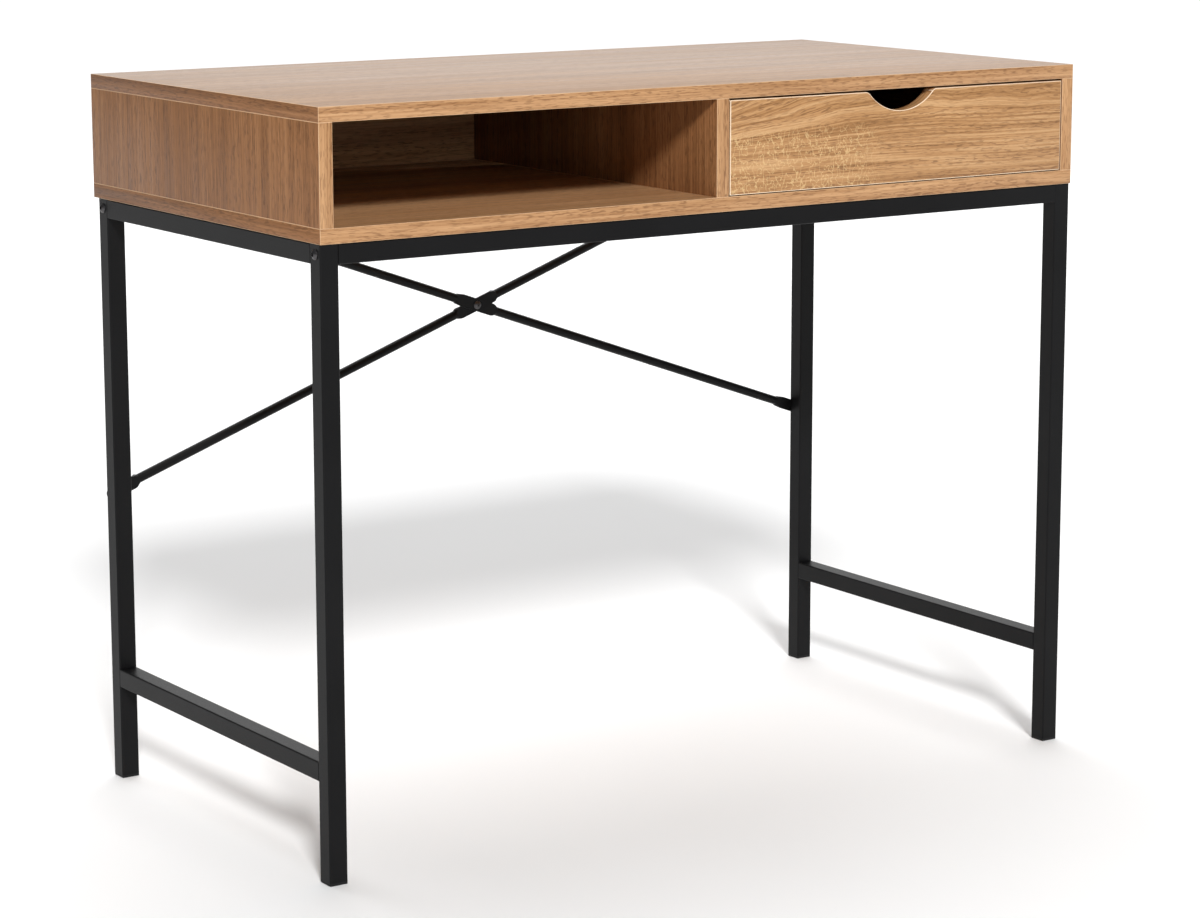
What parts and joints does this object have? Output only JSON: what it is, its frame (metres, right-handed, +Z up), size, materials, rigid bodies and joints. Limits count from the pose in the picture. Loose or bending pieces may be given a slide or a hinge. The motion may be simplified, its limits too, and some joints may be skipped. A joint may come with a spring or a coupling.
{
  "type": "writing desk",
  "caption": "Straight writing desk: thin wood-faced top over an open cubby and a notched drawer, on a square steel tube frame with crossed braces at the back.",
  "frame": {"origin": "on the floor, below the middle of the desk's outside box", "axes": "+X to the right along the desk, -Y out of the front where the drawer opens, +Z up"},
  "size_m": [0.945, 0.485, 0.76],
  "materials": {
    "tabletop_oak": "matte oak-pattern foil on board",
    "carcass_oak": "matte oak-pattern foil on board",
    "side_oak": "matte oak-pattern foil on board, grain upright",
    "drawer_front_oak": "matte oak-pattern foil on board, grain along the front",
    "drawer_box_oak": "plain foil on board",
    "drawer_sheet": "thin hardboard with a foil face",
    "beech": "raw wood, fluted",
    "black_steel": "fine-textured black powder coat",
    "brace_steel": "fine-textured black powder coat",
    "black_fastener": "black oxide",
    "zinc_steel": "bright zinc plate",
    "zinc_alloy": "die-cast, dull",
    "runner_steel": "cream-white powder coat",
    "nylon": "natural nylon",
    "foot_plastic": "black moulded plastic"
  },
  "bodies": {
    "desk": {"top_panel": "tabletop_oak", "bottom_panel": "carcass_oak", "left_side_panel": "side_oak", "right_side_panel": "side_oak", "divider_panel": "side_oak", "back_panel": "carcass_oak", "cam_bolts": "zinc_steel", "cam_locks": "zinc_alloy", "dowels": "beech", "base_screws": "zinc_steel", "left_cabinet_runner": "runner_steel", "right_cabinet_runner": "runner_steel", "cabinet_roller_pins": "zinc_steel", "cabinet_runner_screws": "zinc_steel", "front_left_leg": "black_steel", "front_right_leg": "black_steel", "back_left_leg": "black_steel", "back_right_leg": "black_steel", "left_top_rail": "black_steel", "right_top_rail": "black_steel", "left_lower_rail": "black_steel", "right_lower_rail": "black_steel", "front_rail": "black_steel", "rear_rail": "black_steel", "rail_end_plugs": "zinc_steel", "frame_bolts": "black_fastener", "front_left_foot": "foot_plastic", "front_right_foot": "foot_plastic", "back_left_foot": "foot_plastic", "back_right_foot": "foot_plastic", "carcass_bolts": "zinc_steel", "carcass_inserts": "zinc_alloy", "rising_brace": "brace_steel", "falling_brace": "brace_steel", "brace_bolts": "black_fastener", "brace_rivet_nuts": "zinc_steel", "brace_centre_bolt": "black_fastener", "brace_centre_nut": "black_fastener"},
    "drawer": {"drawer_front": "drawer_front_oak", "drawer_left_side": "drawer_box_oak", "drawer_right_side": "drawer_box_oak", "drawer_back": "drawer_box_oak", "drawer_bottom": "drawer_sheet", "drawer_cam_bolts": "zinc_steel", "drawer_cam_locks": "zinc_alloy", "drawer_back_screws": "zinc_steel", "left_drawer_runner": "runner_steel", "right_drawer_runner": "runner_steel", "drawer_roller_pins": "zinc_steel", "drawer_runner_screws": "zinc_steel"},
    "left_cabinet_roller": {"left_cabinet_roller": "nylon"},
    "right_cabinet_roller": {"right_cabinet_roller": "nylon"},
    "left_drawer_roller": {"left_drawer_roller": "nylon"},
    "right_drawer_roller": {"right_drawer_roller": "nylon"}
  },
  "joints": [
    {"name": "drawer_slide", "type": "slide", "parent": "desk", "child": "drawer", "axis": [0, -1, 0], "range_m": [0, 0.3]},
    {"name": "left_cabinet_roller_spin", "type": "hinge", "parent": "desk", "child": "left_cabinet_roller", "pos_m": [0.0112, -0.214, 0.6608], "axis": [1, 0, 0], "range_deg": [0, 2150]},
    {"name": "right_cabinet_roller_spin", "type": "hinge", "parent": "desk", "child": "right_cabinet_roller", "pos_m": [0.4498, -0.214, 0.6608], "axis": [1, 0, 0], "range_deg": [0, 2150]},
    {"name": "left_drawer_roller_spin", "type": "hinge", "parent": "drawer", "child": "left_drawer_roller", "pos_m": [0.0122, 0.1605, 0.6605], "axis": [1, 0, 0], "range_deg": [0, 2150]},
    {"name": "right_drawer_roller_spin", "type": "hinge", "parent": "drawer", "child": "right_drawer_roller", "pos_m": [0.4488, 0.1605, 0.6605], "axis": [1, 0, 0], "range_deg": [0, 2150]}
  ],
  "couplings": [
    {"joint": "left_cabinet_roller_spin", "follows": "drawer_slide", "rad_per_m": 125},
    {"joint": "right_cabinet_roller_spin", "follows": "drawer_slide", "rad_per_m": 125},
    {"joint": "left_drawer_roller_spin", "follows": "drawer_slide", "rad_per_m": 125},
    {"joint": "right_drawer_roller_spin", "follows": "drawer_slide", "rad_per_m": 125}
  ]
}
